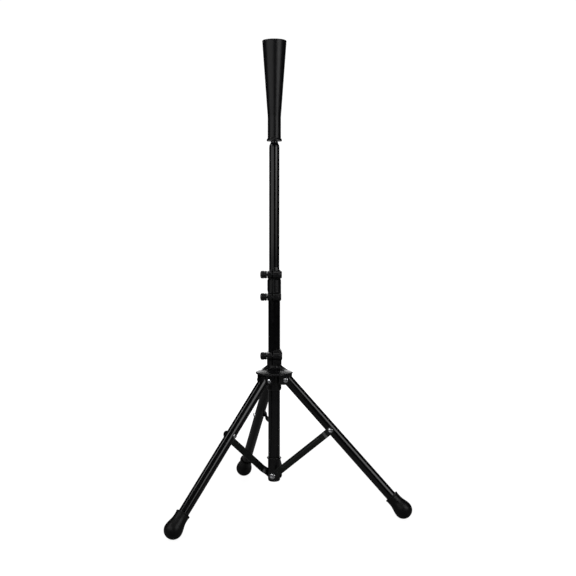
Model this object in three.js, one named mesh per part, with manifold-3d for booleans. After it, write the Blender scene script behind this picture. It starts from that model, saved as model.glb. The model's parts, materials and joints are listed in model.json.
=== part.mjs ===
// Tripod batting tee: a flared rubber ball cup on a telescoping mast, carried by three folding legs.
// Millimetres, +Z up. The origin is on the floor, under the middle of the bounding box.
import * as THREE from 'three';
import { mergeVertices } from 'three/addons/utils/BufferGeometryUtils.js';
import Module from 'manifold-3d';

// ---------------------------------------------------------------- driving dimensions
const DEG = Math.PI / 180;
const GAP = 0.3; // running gap between pieces that would otherwise touch
const FAR = 60; // reach of a cutting shape that clears everything on its side
const PAST = 2; // how far a hole runs past the face it breaks through

// Telescoping mast
const MAIN_TUBE = { outer: 12.7, wall: 1.2, bottom: 114.4, top: 497 };
const UPPER_TUBE = { outer: 11, wall: 1.1, bottom: 395, top: 781 };
const CUP = { bottom: 792, top: 1002, rimRadius: 25.8, stemRadius: 14, flangeRadius: 16.1 };
const CUP_BORE = { stemRadius: 8, rimRadius: 22.8, stemTop: 850, bowlBottom: 857 };
const SPIGOT = { neckRadius: 7.7, shoulderTop: 789, top: 849, bottom: 752 };

// Clamps: a split band with two lugs, and a screw across them that carries a knob
const CLAMP_AZIMUTH = -15 * DEG; // the way the lugs face, turned from -Y toward +X
const LUG = { left: -14.3, slit: -4, slitHalf: 1.1, radius: 8.2 };
const SCREW = { radius: 3, offset: 18.5 };
const NUT = { halfFlats: 5, thickness: 5 };
const WASHER = { radius: 7, thickness: 1.1 };
const KNOB = { radius: 8.2, inner: -15.9, outer: -29.9, socketEnd: -23 };
const KNOB_FLUTE = { count: 6, grooveRadius: 1.5, standOff: 0.8, length: 8 };
const KNOB_RELIEF = { depth: 1.5, low: 6, high: 14 }; // heights over the lower clamp's screw
const MID_COLLAR = { bottom: 453.5, step: 499, top: 526, bodyRadius: 14.7, bandRadius: 13.4 };

// Each clamp: its screw's height, the right ends of its boss and web, and how far the web
// reaches over and under the screw on the left (rise) and on the right (up and down)
const UPPER_CLAMP = { z: 510.3, rightEnd: 16.2, webRight: 13.5, boss: 8.4, rise: 7.2, up: 7.5, down: 10 };
const LOWER_CLAMP = { z: 462.8, rightEnd: 14.9, webRight: 12.2, boss: 8.2, rise: 7.4, up: 12, down: 9 };
const HUB_CLAMP = { z: 336.7, rightEnd: 17.3, webRight: 15.8, boss: 9.5, rise: 7.5, up: 13, down: 20.4 };
const BOSS = { length: 6, chamferLength: 3, chamferDepth: 1.6 };

// Slanting upper edges of the two open bands, as [x, z] points from left to right
const MID_COLLAR_EDGE = [[-11, 517.8], [-4, 523.5], [3, 526], [6, 526], [10, 521.5], [14, 517.8]];
const HUB_EDGE = [[-11, 343.4], [6, 350], [12.5, 350], [20, 341.5]];

// Hub that slides on the main tube
const HUB = { bottom: 260, sleeveRadius: 15.6, shoulderTop: 314, top: 350 };
const FLANGE = { radius: 39.8, bottom: 296.2, top: 300 };
const SHOULDER = [[32.5, 302.6], [26, 304.9], [20.5, 307.5], [17.5, 309.6]]; // hollow curve, [radius, height]
const RIB = { count: 9, phase: -5 * DEG, half: 0.9, rim: [35.5, 300.8], crest: [29, 304.1] };
const CHEEK = { inner: 11.6, outer: 14.6, reach: 36.5, cornerRadius: 10.5 };
const HUMP = { radius: 16.6, half: 12 };

// Tripod
const LEG_AZIMUTHS = { left: -60 * DEG, right: 60 * DEG, back: 180 * DEG };
const LEG = { radius: 11, wall: 1.3, endRadius: 10.8 };
const LEG_PIVOT = { reach: 29.7, z: 285 };
const FOOT_CIRCLE = 281.1; // radius of the circle through the three foot centres
const FOOT = { centreZ: 18.2, bulbRadius: 18.9, cuffRadius: 14.3, lipRadius: 15, neckStart: 26, top: 37.5 };
const FOOT_SOCKET_DEPTH = 2; // height of the socket's floor above the bulb's centre
const BRACE_PIVOT_REACH = 127;
const RIVET_Z = 74.5;

// Braces: flat at both pivots, and stepped outward in between
const STRAP = { halfWidth: 7.6, inner: 13.2, thickness: 1.8 };
const JOGGLE = { start: 9, end: 21, offset: 5.8 }; // start and end are distances from either pivot
const BEAD = { half: 3, height: 1, margin: 28 };

// Collar at the foot of the mast that the braces are riveted to
const BRACE_COLLAR = { bottom: 61, radius: 13.3, flat: 12.7, lipRadius: 15.6, lipBottom: 111, lipTop: 114 };
const COLLAR_FLAT_TOP = 107;
const COLLAR_SPIGOT_TOP = 134;

// Chrome fasteners
const PIVOT_BOLT = { radius: 3, headRadius: 5.4, headHeight: 3, nutHalfFlats: 5, nutHeight: 4 };
const BRACE_BOLT = { radius: 2.5, headRadius: 5, headHeight: 2.4, nutHalfFlats: 4.2, nutHeight: 3.2 };
const RIVET = { radius: 2.5, headRadius: 6, headHeight: 1.9, dimpleRadius: 2, dimpleDepth: 0.9 };
const SPACER_RADIUS = 6;

const SEGMENTS = { tube: 30, cup: 36, foot: 24, leg: 24, round: 18, small: 12, knob: 20 };

// ---------------------------------------------------------------- worked out from the above
const LEG_ANGLE = Math.atan2(FOOT_CIRCLE - LEG_PIVOT.reach, LEG_PIVOT.z - FOOT.centreZ); // from vertical
const LEG_LENGTH = Math.hypot(FOOT_CIRCLE - LEG_PIVOT.reach, LEG_PIVOT.z - FOOT.centreZ);
const BRACE_BOLT_DISTANCE = (BRACE_PIVOT_REACH - LEG_PIVOT.reach) / Math.sin(LEG_ANGLE); // along the leg
const BRACE_PIVOT_Z = LEG_PIVOT.z - BRACE_BOLT_DISTANCE * Math.cos(LEG_ANGLE);
const BRACE_ANGLE = Math.atan2(BRACE_PIVOT_REACH, BRACE_PIVOT_Z - RIVET_Z); // from vertical
const BRACE_LENGTH = Math.hypot(BRACE_PIVOT_REACH, BRACE_PIVOT_Z - RIVET_Z);
const STRAP_OUTER = STRAP.inner + STRAP.thickness;
const MAST_Y = -FOOT_CIRCLE / 4; // puts the bounding box of the three feet over the origin

// ---------------------------------------------------------------- materials
const paintedSteel = new THREE.MeshStandardMaterial({ color: 0x0c0c0e, roughness: 0.22, metalness: 0.5 });
const blackStrap = new THREE.MeshStandardMaterial({ color: 0x161817, roughness: 0.4, metalness: 0.6 });
const blackPlastic = new THREE.MeshStandardMaterial({ color: 0x121213, roughness: 0.45, metalness: 0 });
const cupRubber = new THREE.MeshStandardMaterial({ color: 0x1e1e21, roughness: 0.85, metalness: 0 });
const footRubber = new THREE.MeshStandardMaterial({ color: 0x151516, roughness: 0.75, metalness: 0 });
const chrome = new THREE.MeshStandardMaterial({ color: 0xc9cbce, roughness: 0.15, metalness: 1 });

// ---------------------------------------------------------------- solid helpers
const library = await Module();
library.setup();

// A closed three.js geometry as a solid that can be joined and cut
function solid(geometry) {
  const bare = geometry.clone();
  bare.deleteAttribute('normal');
  bare.deleteAttribute('uv');
  const merged = mergeVertices(bare, 1e-4);
  const corners = [];
  const index = merged.index.array;
  for (let i = 0; i < index.length; i += 3) {
    const [a, b, c] = [index[i], index[i + 1], index[i + 2]];
    if (a !== b && b !== c && c !== a) corners.push(a, b, c);
  }
  const vertProperties = Float32Array.from(merged.attributes.position.array);
  const triVerts = Uint32Array.from(corners);
  return new library.Manifold(new library.Mesh({ numProp: 3, vertProperties, triVerts }));
}

function geometryOf(body) {
  const { vertProperties, triVerts } = body.getMesh();
  const geometry = new THREE.BufferGeometry();
  geometry.setAttribute('position', new THREE.BufferAttribute(Float32Array.from(vertProperties), 3));
  geometry.setIndex(Array.from(triVerts));
  geometry.computeVertexNormals();
  return geometry;
}

function join(first, ...others) {
  return others.reduce((sum, part) => sum.add(part), first);
}

function cut(first, ...others) {
  return others.reduce((rest, part) => rest.subtract(part), first);
}

// Turns a profile of [radius, height] points about Z
function revolve(profile, segments) {
  const points = profile.map(([radius, height]) => new THREE.Vector2(radius, height));
  return new THREE.LatheGeometry(points, segments).rotateX(Math.PI / 2);
}

function rod(radius, from, to, segments) {
  return revolve([[0, from], [radius, from], [radius, to], [0, to]], segments);
}

function rodAlongX(radius, from, to, segments = SEGMENTS.small) {
  return rod(radius, from, to, segments).rotateY(Math.PI / 2);
}

function tube(outer, inner, from, to, segments) {
  return revolve([[outer, from], [outer, to], [inner, to], [inner, from], [outer, from]], segments);
}

function box(from, to) {
  const size = to.map((value, axis) => value - from[axis]);
  const middle = to.map((value, axis) => (value + from[axis]) / 2);
  return new THREE.BoxGeometry(...size).translate(...middle);
}

// A hexagonal prism along X, its flats facing up and down
function hexAlongX(halfFlats, from, to) {
  const corner = halfFlats / Math.cos(30 * DEG);
  return rod(corner, from, to, 6).rotateZ(30 * DEG).rotateY(Math.PI / 2);
}

// Extrudes an outline drawn in X and Z toward -Y, from y = 0
function slabTowardMinusY(points, depth) {
  const outline = new THREE.Shape(points.map(([x, z]) => new THREE.Vector2(x, z)));
  return new THREE.ExtrudeGeometry(outline, { depth, bevelEnabled: false }).rotateX(Math.PI / 2);
}

// Extrudes an outline drawn as (reach, z) along X, where reach grows toward -Y
function plateAlongX(outline, from, to) {
  return new THREE.ExtrudeGeometry(outline, { depth: to - from, bevelEnabled: false, curveSegments: 8 })
    .rotateX(Math.PI / 2)
    .rotateZ(-Math.PI / 2)
    .translate(to, 0, 0);
}

function domedHead(radius, height) {
  return [[0, 0], [radius, 0], [radius, height * 0.45], [radius * 0.78, height * 0.86], [0, height]];
}

function place(name, shape, material, parent) {
  const mesh = new THREE.Mesh(geometryOf(shape), material);
  mesh.name = name;
  parent.add(mesh);
  return mesh;
}

// ---------------------------------------------------------------- ball cup and upper tube
function ballCup() {
  const { bottom, top, rimRadius, stemRadius, flangeRadius } = CUP;
  return solid(revolve([
    [flangeRadius, bottom],
    [flangeRadius, bottom + 4],
    [stemRadius, bottom + 6.5],
    [stemRadius, bottom + 52],
    [stemRadius + 0.9, bottom + 62],
    [rimRadius - 0.3, top - 3.5],
    [rimRadius, top - 2],
    [rimRadius - 0.5, top - 0.5],
    [rimRadius - 1, top],
    [CUP_BORE.rimRadius, top],
    [CUP_BORE.stemRadius + 2, CUP_BORE.bowlBottom],
    [CUP_BORE.stemRadius, CUP_BORE.stemTop],
    [CUP_BORE.stemRadius, bottom],
    [flangeRadius, bottom],
  ], SEGMENTS.cup));
}

// Metal adapter: plugs into the tube, steps down over a shoulder and carries the cup on its neck
function cupSpigot() {
  const plugRadius = UPPER_TUBE.outer - UPPER_TUBE.wall - GAP;
  const shoulder = UPPER_TUBE.top + GAP;
  return solid(revolve([
    [0, SPIGOT.bottom],
    [plugRadius, SPIGOT.bottom],
    [plugRadius, shoulder],
    [UPPER_TUBE.outer, shoulder],
    [UPPER_TUBE.outer - 0.7, shoulder + 2.4],
    [SPIGOT.neckRadius + 0.7, SPIGOT.shoulderTop - 1.2],
    [SPIGOT.neckRadius, SPIGOT.shoulderTop],
    [SPIGOT.neckRadius, SPIGOT.top - 2],
    [SPIGOT.neckRadius - 2, SPIGOT.top],
    [0, SPIGOT.top],
  ], SEGMENTS.tube));
}

function upperTube() {
  const { outer, wall, bottom, top } = UPPER_TUBE;
  return solid(tube(outer, outer - wall, bottom, top, SEGMENTS.tube));
}

// Plastic glide in the lower end of the upper tube, a running fit in the main tube
function tubeGlide() {
  const glideRadius = MAIN_TUBE.outer - MAIN_TUBE.wall - 0.2;
  const stemRadius = UPPER_TUBE.outer - UPPER_TUBE.wall - GAP;
  const seat = UPPER_TUBE.bottom - GAP;
  return solid(revolve([
    [0, seat - 7],
    [glideRadius - 1.2, seat - 7],
    [glideRadius, seat - 5],
    [glideRadius, seat],
    [stemRadius, seat],
    [stemRadius, seat + 22],
    [0, seat + 22],
  ], SEGMENTS.tube));
}

// ---------------------------------------------------------------- clamps
// Web and barrel of a pair of lugs, before the band's bore and slit are cut
function lugs(clamp) {
  const web = slabTowardMinusY([
    [LUG.left, -clamp.rise],
    [clamp.webRight, -clamp.down],
    [clamp.webRight, clamp.up],
    [LUG.left, clamp.rise],
  ], SCREW.offset);
  const barrel = rodAlongX(LUG.radius - 0.2, LUG.left, clamp.rightEnd - 1, SEGMENTS.knob);
  const boss = revolve([
    [0, clamp.rightEnd - BOSS.length],
    [clamp.boss, clamp.rightEnd - BOSS.length],
    [clamp.boss, clamp.rightEnd - BOSS.chamferLength],
    [clamp.boss - BOSS.chamferDepth, clamp.rightEnd],
    [0, clamp.rightEnd],
  ], SEGMENTS.knob).rotateY(Math.PI / 2);
  return join(
    solid(web.translate(0, 0, clamp.z)),
    solid(barrel.translate(0, -SCREW.offset, clamp.z)),
    solid(boss.translate(0, -SCREW.offset, clamp.z)),
  );
}

// Screw hole through both lugs, with a hexagonal pocket for the nut at its right end
function screwHole(clamp) {
  const hole = rodAlongX(SCREW.radius + GAP, LUG.left - PAST, clamp.rightEnd + PAST);
  const pocket = hexAlongX(NUT.halfFlats + GAP, clamp.rightEnd - NUT.thickness, clamp.rightEnd + PAST);
  return join(
    solid(hole.translate(0, -SCREW.offset, clamp.z)),
    solid(pocket.translate(0, -SCREW.offset, clamp.z)),
  );
}

function slit(from, to, depthFrom) {
  const left = LUG.slit - LUG.slitHalf;
  return solid(box([left, -FAR, from], [left + 2 * LUG.slitHalf, -depthFrom, to]));
}

// Chamfer on the left of the collar's body, over the lower knob
function knobRelief() {
  const left = -MID_COLLAR.bodyRadius;
  const { depth, low, high } = KNOB_RELIEF;
  const outline = [[-FAR, -FAR], [left + depth, -FAR], [left + depth, low], [left, high], [-FAR, high]];
  return solid(slabTowardMinusY(outline, 2 * FAR).translate(0, FAR, LOWER_CLAMP.z));
}

// Everything over a slanting upper edge
function aboveEdge(edge) {
  const ceiling = edge[0][1] + FAR;
  const outline = [[-FAR, edge[0][1]], ...edge, [FAR, edge.at(-1)[1]], [FAR, ceiling], [-FAR, ceiling]];
  return solid(slabTowardMinusY(outline, 2 * FAR).translate(0, FAR, 0));
}

function midCollar() {
  const { bottom, step, top, bodyRadius, bandRadius } = MID_COLLAR;
  const body = solid(revolve([
    [0, bottom],
    [bodyRadius - 1, bottom],
    [bodyRadius, bottom + 1],
    [bodyRadius, step - 1],
    [bodyRadius - 1, step],
    [bandRadius, step],
    [bandRadius, top - 6],
    [bandRadius - 0.9, top],
    [0, top],
  ], SEGMENTS.tube));
  const outside = join(cut(body, knobRelief()), lugs(UPPER_CLAMP), lugs(LOWER_CLAMP));
  return cut(
    outside,
    solid(rod(MAIN_TUBE.outer + GAP, bottom - PAST, MAIN_TUBE.top + GAP, SEGMENTS.tube)),
    solid(rod(UPPER_TUBE.outer + GAP, bottom - PAST, top + PAST, SEGMENTS.tube)),
    aboveEdge(MID_COLLAR_EDGE),
    slit(bottom - PAST, top + PAST, UPPER_TUBE.outer - PAST),
    screwHole(UPPER_CLAMP),
    screwHole(LOWER_CLAMP),
  );
}

// Stepped knob: a rounded cap over a slightly smaller skirt, with grip flutes round the cap
function knob() {
  const { radius, inner, outer, socketEnd } = KNOB;
  const profile = revolve([
    [0, outer],
    [radius * 0.5, outer + 0.3],
    [radius * 0.86, outer + 1.3],
    [radius, outer + 3.2],
    [radius, outer + 8.2],
    [radius - 0.9, outer + 8.7],
    [radius - 0.9, outer + 9.5],
    [radius - 0.2, outer + 10],
    [radius - 0.3, inner - 0.8],
    [radius - 1.2, inner],
    [0, inner],
  ], SEGMENTS.knob).rotateY(Math.PI / 2);
  const { count, grooveRadius, standOff, length } = KNOB_FLUTE;
  const flutes = Array.from({ length: count }, (_, k) => {
    const angle = (k * 360 / count) * DEG;
    const groove = rodAlongX(grooveRadius, outer - 1, outer + length, 6);
    return solid(groove.translate(0, 0, radius + standOff).rotateX(angle));
  });
  return cut(solid(profile), solid(rodAlongX(SCREW.radius + GAP, socketEnd, inner + 1)), ...flutes);
}

function clampFasteners(name, clamp, parent) {
  const frame = new THREE.Group();
  frame.position.set(0, -SCREW.offset, clamp.z);
  parent.add(frame);
  const { thickness } = NUT;
  const nutBody = solid(hexAlongX(NUT.halfFlats, clamp.rightEnd - thickness + GAP, clamp.rightEnd - GAP));
  const nutHole = solid(rodAlongX(SCREW.radius + GAP, clamp.rightEnd - thickness - 1, clamp.rightEnd + 1));
  const ring = tube(WASHER.radius, SCREW.radius + GAP, 0, WASHER.thickness, SEGMENTS.knob);
  const washer = ring.rotateY(Math.PI / 2).translate(LUG.left - GAP - WASHER.thickness, 0, 0);
  const screw = rodAlongX(SCREW.radius, KNOB.socketEnd + GAP, clamp.rightEnd - 0.5);
  place(`${name}_knob`, knob(), blackPlastic, frame);
  place(`${name}_screw`, solid(screw), chrome, frame);
  place(`${name}_washer`, solid(washer), blackPlastic, frame);
  place(`${name}_nut`, cut(nutBody, nutHole), chrome, frame);
}

// ---------------------------------------------------------------- main tube and brace collar
function mainTube() {
  const { outer, wall, bottom, top } = MAIN_TUBE;
  return solid(tube(outer, outer - wall, bottom, top, SEGMENTS.tube));
}

// Moulded plug in the lower end of the main tube, with a flat beside each brace
function braceCollar() {
  const { bottom, radius, flat, lipRadius, lipBottom, lipTop } = BRACE_COLLAR;
  const spigotRadius = MAIN_TUBE.outer - MAIN_TUBE.wall - GAP;
  const body = solid(revolve([
    [0, bottom],
    [radius - 4, bottom],
    [radius - 1.2, bottom + 1.2],
    [radius, bottom + 4],
    [radius, lipBottom],
    [lipRadius - 0.5, lipBottom],
    [lipRadius, lipBottom + 0.6],
    [lipRadius, lipTop - 0.8],
    [lipRadius - 0.8, lipTop],
    [spigotRadius, lipTop],
    [spigotRadius, COLLAR_SPIGOT_TOP - 1],
    [spigotRadius - 1, COLLAR_SPIGOT_TOP],
    [0, COLLAR_SPIGOT_TOP],
  ], SEGMENTS.tube));
  const flats = Object.values(LEG_AZIMUTHS).map((azimuth) => (
    solid(box([-FAR, -FAR, bottom - PAST], [-flat, FAR, COLLAR_FLAT_TOP]).rotateZ(azimuth))
  ));
  return cut(body, ...flats);
}

// ---------------------------------------------------------------- hub
// Outline of a clevis cheek as (reach, z), rounded at its lower outer corner
function cheekOutline() {
  const { reach, cornerRadius } = CHEEK;
  const bottom = LEG_PIVOT.z - cornerRadius;
  const outline = new THREE.Shape();
  outline.moveTo(HUB.sleeveRadius - 2, FLANGE.bottom + 1);
  outline.lineTo(HUB.sleeveRadius - 2, bottom);
  outline.lineTo(reach - cornerRadius, bottom);
  outline.absarc(reach - cornerRadius, LEG_PIVOT.z, cornerRadius, -Math.PI / 2, 0, false);
  outline.lineTo(reach, FLANGE.bottom + 1);
  outline.closePath();
  return outline;
}

function clevis(azimuth) {
  const cheeks = [-CHEEK.outer, CHEEK.inner].map((from) => {
    const plate = plateAlongX(cheekOutline(), from, from + CHEEK.outer - CHEEK.inner);
    return solid(plate.rotateZ(azimuth));
  });
  const hump = rodAlongX(HUMP.radius, -HUMP.half, HUMP.half, SEGMENTS.round);
  hump.translate(0, -LEG_PIVOT.reach, LEG_PIVOT.z).rotateZ(azimuth);
  const { radius, bottom } = FLANGE;
  const above = box([-radius, -radius, bottom], [radius, radius, HUB.top]);
  return join(...cheeks, solid(hump).intersect(solid(above)));
}

function shoulderRib(azimuth) {
  const { half, rim, crest } = RIB;
  const outline = new THREE.Shape([
    new THREE.Vector2(HUB.sleeveRadius - 1, FLANGE.bottom + 1),
    new THREE.Vector2(rim[0], FLANGE.bottom + 1),
    new THREE.Vector2(...rim),
    new THREE.Vector2(...crest),
    new THREE.Vector2(HUB.sleeveRadius - 1, HUB.shoulderTop + 1),
  ]);
  return solid(plateAlongX(outline, -half, half).rotateZ(azimuth));
}

function hub() {
  const body = solid(revolve([
    [0, HUB.bottom],
    [HUB.sleeveRadius - 1.8, HUB.bottom],
    [HUB.sleeveRadius, HUB.bottom + 3.2],
    [HUB.sleeveRadius, FLANGE.bottom],
    [FLANGE.radius - 0.8, FLANGE.bottom],
    [FLANGE.radius, FLANGE.bottom + 0.8],
    [FLANGE.radius, FLANGE.top - 1.2],
    [FLANGE.radius - 1.2, FLANGE.top],
    ...SHOULDER,
    [HUB.sleeveRadius - 0.1, HUB.shoulderTop - 1],
    [HUB.sleeveRadius - 0.1, HUB.top - 1.2],
    [HUB.sleeveRadius - 1.3, HUB.top],
    [0, HUB.top],
  ], SEGMENTS.tube));
  const clevises = Object.values(LEG_AZIMUTHS).map(clevis);
  const ribPitch = 360 * DEG / RIB.count;
  const ribs = Array.from({ length: RIB.count }, (_, k) => shoulderRib(RIB.phase + k * ribPitch));
  const turn = (body) => body.rotate([0, 0, CLAMP_AZIMUTH / DEG]);
  const pivotHoles = Object.values(LEG_AZIMUTHS).map((azimuth) => {
    const hole = rodAlongX(PIVOT_BOLT.radius + GAP, -CHEEK.outer - PAST, CHEEK.outer + PAST);
    return solid(hole.translate(0, -LEG_PIVOT.reach, LEG_PIVOT.z).rotateZ(azimuth));
  });
  return cut(
    join(body, ...clevises, ...ribs, turn(lugs(HUB_CLAMP))),
    solid(rod(MAIN_TUBE.outer + GAP, HUB.bottom - PAST, HUB.top + PAST, SEGMENTS.tube)),
    turn(aboveEdge(HUB_EDGE)),
    turn(slit(HUB.shoulderTop + 1, HUB.top + PAST, MAIN_TUBE.outer - PAST)),
    turn(screwHole(HUB_CLAMP)),
    ...pivotHoles,
  );
}

// ---------------------------------------------------------------- legs
// In a leg's own frame the pivot is the origin, -Z runs down the leg and X is the pivot's axis.

// Keeps what lies below the pivot, and rounds what lies above it about the pivot's axis
function roundedEnd(body, radius) {
  const below = solid(box([-FAR, -FAR, -LEG_LENGTH - FAR], [FAR, FAR, 0]));
  const round = solid(rodAlongX(radius, -FAR, FAR, SEGMENTS.round));
  return body.intersect(below.add(round));
}

function legTube() {
  const bottom = -LEG_LENGTH + FOOT_SOCKET_DEPTH + GAP;
  const body = solid(tube(LEG.radius, LEG.radius - LEG.wall, bottom, LEG.radius + 2, SEGMENTS.leg));
  const pivotHole = rodAlongX(PIVOT_BOLT.radius + GAP, -FAR, FAR);
  const braceHole = rodAlongX(BRACE_BOLT.radius + GAP, -FAR, FAR).translate(0, 0, -BRACE_BOLT_DISTANCE);
  return cut(roundedEnd(body, LEG.endRadius), solid(pivotHole), solid(braceHole));
}

function legPlug() {
  const radius = LEG.radius - LEG.wall - GAP;
  const body = solid(rod(radius, -24, LEG.radius + 2, SEGMENTS.leg));
  const pivotHole = rodAlongX(PIVOT_BOLT.radius + GAP, -FAR, FAR);
  return cut(roundedEnd(body, LEG.endRadius - 0.4), solid(pivotHole));
}

// Rubber foot: a bulb that necks in to a cuff round the tube, cut flat where it stands on the floor
function foot() {
  const { bulbRadius, cuffRadius, lipRadius, neckStart, top, centreZ } = FOOT;
  const socketRadius = LEG.radius + GAP;
  const profile = [];
  const bulbSteps = 5;
  for (let i = 0; i <= bulbSteps; i += 1) {
    const angle = (i / bulbSteps) * 90 * DEG;
    profile.push([bulbRadius * Math.sin(angle), -bulbRadius * Math.cos(angle)]);
  }
  const neckSteps = 4;
  for (let i = 1; i <= neckSteps; i += 1) {
    const along = i / neckSteps;
    const blend = (1 + Math.cos(Math.PI * along)) / 2;
    profile.push([cuffRadius + (bulbRadius - cuffRadius) * blend, neckStart * along]);
  }
  profile.push(
    [cuffRadius, top - 3],
    [lipRadius, top - 2.4],
    [lipRadius, top - 0.5],
    [lipRadius - 0.5, top],
    [socketRadius, top],
    [socketRadius, FOOT_SOCKET_DEPTH],
    [0, FOOT_SOCKET_DEPTH],
  );
  const shape = revolve(profile, SEGMENTS.foot).rotateX(-LEG_ANGLE).translate(0, -FOOT_CIRCLE, centreZ);
  const floor = box([-FAR, -FOOT_CIRCLE - FAR, -FAR], [FAR, -FOOT_CIRCLE + FAR, 0]);
  return cut(solid(shape), solid(floor));
}

function domeBolt(bolt, headFace, shankEnd) {
  const head = revolve(domedHead(bolt.headRadius, bolt.headHeight), SEGMENTS.small).rotateY(-Math.PI / 2);
  const shank = rodAlongX(bolt.radius, -headFace - 0.1, shankEnd);
  return join(solid(head.translate(-headFace, 0, 0)), solid(shank));
}

// Hexagonal nut with a domed outer face, its bore open toward the bolt
function domeNut(bolt, from) {
  const { nutHalfFlats, nutHeight } = bolt;
  const blank = hexAlongX(nutHalfFlats, from, from + nutHeight);
  const dome = revolve(domedHead(nutHalfFlats / Math.cos(30 * DEG) + 0.4, nutHeight), SEGMENTS.small);
  const bore = rodAlongX(bolt.radius + GAP, from - 1, from + nutHeight - 1.2);
  return cut(solid(blank).intersect(solid(dome.rotateY(Math.PI / 2).translate(from, 0, 0))), solid(bore));
}

// ---------------------------------------------------------------- braces
// In a brace's own frame its lower pivot is the origin, +Z runs up the strap and X crosses its face.
function strapOutline(halfWidth, from, to) {
  const outline = new THREE.Shape();
  outline.absarc(0, from, halfWidth, Math.PI, 2 * Math.PI, false);
  outline.absarc(0, to, halfWidth, 0, Math.PI, false);
  outline.closePath();
  return outline;
}

// Side view of the bent strip, longer at both ends than the strap that is cut from it
function bentStrip() {
  const width = 2 * STRAP.halfWidth + 2;
  const { start, end, offset } = JOGGLE;
  const innerFace = [
    [-STRAP.inner, -width],
    [-STRAP.inner, start],
    [-STRAP.inner - offset, end],
    [-STRAP.inner - offset, BRACE_LENGTH - end],
    [-STRAP.inner, BRACE_LENGTH - start],
    [-STRAP.inner, BRACE_LENGTH + width],
  ];
  const outerFace = innerFace.map(([x, z]) => [x - STRAP.thickness, z]).reverse();
  return solid(slabTowardMinusY([...innerFace, ...outerFace], width).translate(0, width / 2, 0));
}

function brace() {
  const middleFace = STRAP_OUTER + JOGGLE.offset;
  const blank = plateAlongX(strapOutline(STRAP.halfWidth, 0, BRACE_LENGTH), -middleFace - 1, 0);
  const beadOutline = strapOutline(BEAD.half, BEAD.margin, BRACE_LENGTH - BEAD.margin);
  const bead = plateAlongX(beadOutline, -middleFace - BEAD.height, -middleFace + STRAP.thickness / 2);
  const lowerHole = rodAlongX(RIVET.radius + GAP, -FAR, 0);
  const upperHole = rodAlongX(BRACE_BOLT.radius + GAP, -FAR, 0).translate(0, 0, BRACE_LENGTH);
  return cut(join(bentStrip().intersect(solid(blank)), solid(bead)), solid(lowerHole), solid(upperHole));
}

// Dimpled rivet: its head lies on the strap and its shank stops short of the collar's flat
function rivet() {
  const { radius, headRadius, headHeight, dimpleRadius, dimpleDepth } = RIVET;
  const head = revolve([
    [0, 0],
    [headRadius, 0],
    [headRadius, headHeight * 0.35],
    [headRadius * 0.72, headHeight],
    [dimpleRadius + 0.5, headHeight],
    [dimpleRadius, headHeight - dimpleDepth],
    [0, headHeight - dimpleDepth],
  ], SEGMENTS.knob).rotateY(-Math.PI / 2);
  const shank = rodAlongX(radius, -STRAP_OUTER - GAP - 0.1, -BRACE_COLLAR.flat - GAP);
  return join(solid(head.translate(-STRAP_OUTER - GAP, 0, 0)), solid(shank));
}

function buildLeg(side, azimuth, mast) {
  const tripodFrame = new THREE.Group();
  tripodFrame.rotation.z = azimuth;
  mast.add(tripodFrame);
  place(`foot_${side}`, foot(), footRubber, tripodFrame);

  const legFrame = new THREE.Group();
  legFrame.position.set(0, -LEG_PIVOT.reach, LEG_PIVOT.z);
  legFrame.rotation.x = -LEG_ANGLE;
  tripodFrame.add(legFrame);
  place(`leg_tube_${side}`, legTube(), paintedSteel, legFrame);
  place(`leg_plug_${side}`, legPlug(), blackPlastic, legFrame);

  // The nut is on the side that the brace runs, and the head is on the other
  const cheekFace = CHEEK.outer + GAP;
  const pivotBolt = domeBolt(PIVOT_BOLT, cheekFace, cheekFace + 2).rotate([0, 0, 180]);
  const pivotNut = domeNut(PIVOT_BOLT, cheekFace).rotate([0, 0, 180]);
  place(`pivot_bolt_${side}`, pivotBolt, chrome, legFrame);
  place(`pivot_nut_${side}`, pivotNut, chrome, legFrame);

  const braceBoltFrame = new THREE.Group();
  braceBoltFrame.position.z = -BRACE_BOLT_DISTANCE;
  legFrame.add(braceBoltFrame);
  const nutFace = LEG.radius + GAP;
  const shankEnd = nutFace + BRACE_BOLT.nutHeight / 2;
  const spacerBore = BRACE_BOLT.radius + GAP;
  const spacer = tube(SPACER_RADIUS, spacerBore, LEG.radius + GAP, STRAP.inner - GAP, SEGMENTS.small);
  place(`brace_bolt_${side}`, domeBolt(BRACE_BOLT, STRAP_OUTER + GAP, shankEnd), chrome, braceBoltFrame);
  place(`brace_nut_${side}`, domeNut(BRACE_BOLT, nutFace), chrome, braceBoltFrame);
  place(`brace_spacer_${side}`, solid(spacer.rotateY(-Math.PI / 2)), blackPlastic, braceBoltFrame);

  const braceFrame = new THREE.Group();
  braceFrame.position.set(0, 0, RIVET_Z);
  braceFrame.rotation.x = BRACE_ANGLE;
  tripodFrame.add(braceFrame);
  place(`brace_${side}`, brace(), blackStrap, braceFrame);
  place(`brace_rivet_${side}`, rivet(), chrome, braceFrame);
}

// ---------------------------------------------------------------- assembly
const tee = new THREE.Group();
const mast = new THREE.Group();
mast.position.y = MAST_Y;
tee.add(mast);

place('ball_cup', ballCup(), cupRubber, mast);
place('cup_spigot', cupSpigot(), paintedSteel, mast);
place('upper_tube', upperTube(), paintedSteel, mast);
place('tube_glide', tubeGlide(), blackPlastic, mast);
place('main_tube', mainTube(), paintedSteel, mast);
place('brace_collar', braceCollar(), blackPlastic, mast);
place('hub', hub(), blackPlastic, mast);

const clampFrame = new THREE.Group();
clampFrame.rotation.z = CLAMP_AZIMUTH;
mast.add(clampFrame);
place('mid_collar', midCollar(), blackPlastic, clampFrame);
clampFasteners('upper_clamp', UPPER_CLAMP, clampFrame);
clampFasteners('lower_clamp', LOWER_CLAMP, clampFrame);
clampFasteners('hub_clamp', HUB_CLAMP, clampFrame);

for (const [side, azimuth] of Object.entries(LEG_AZIMUTHS)) {
  buildLeg(side, azimuth, mast);
}

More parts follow.
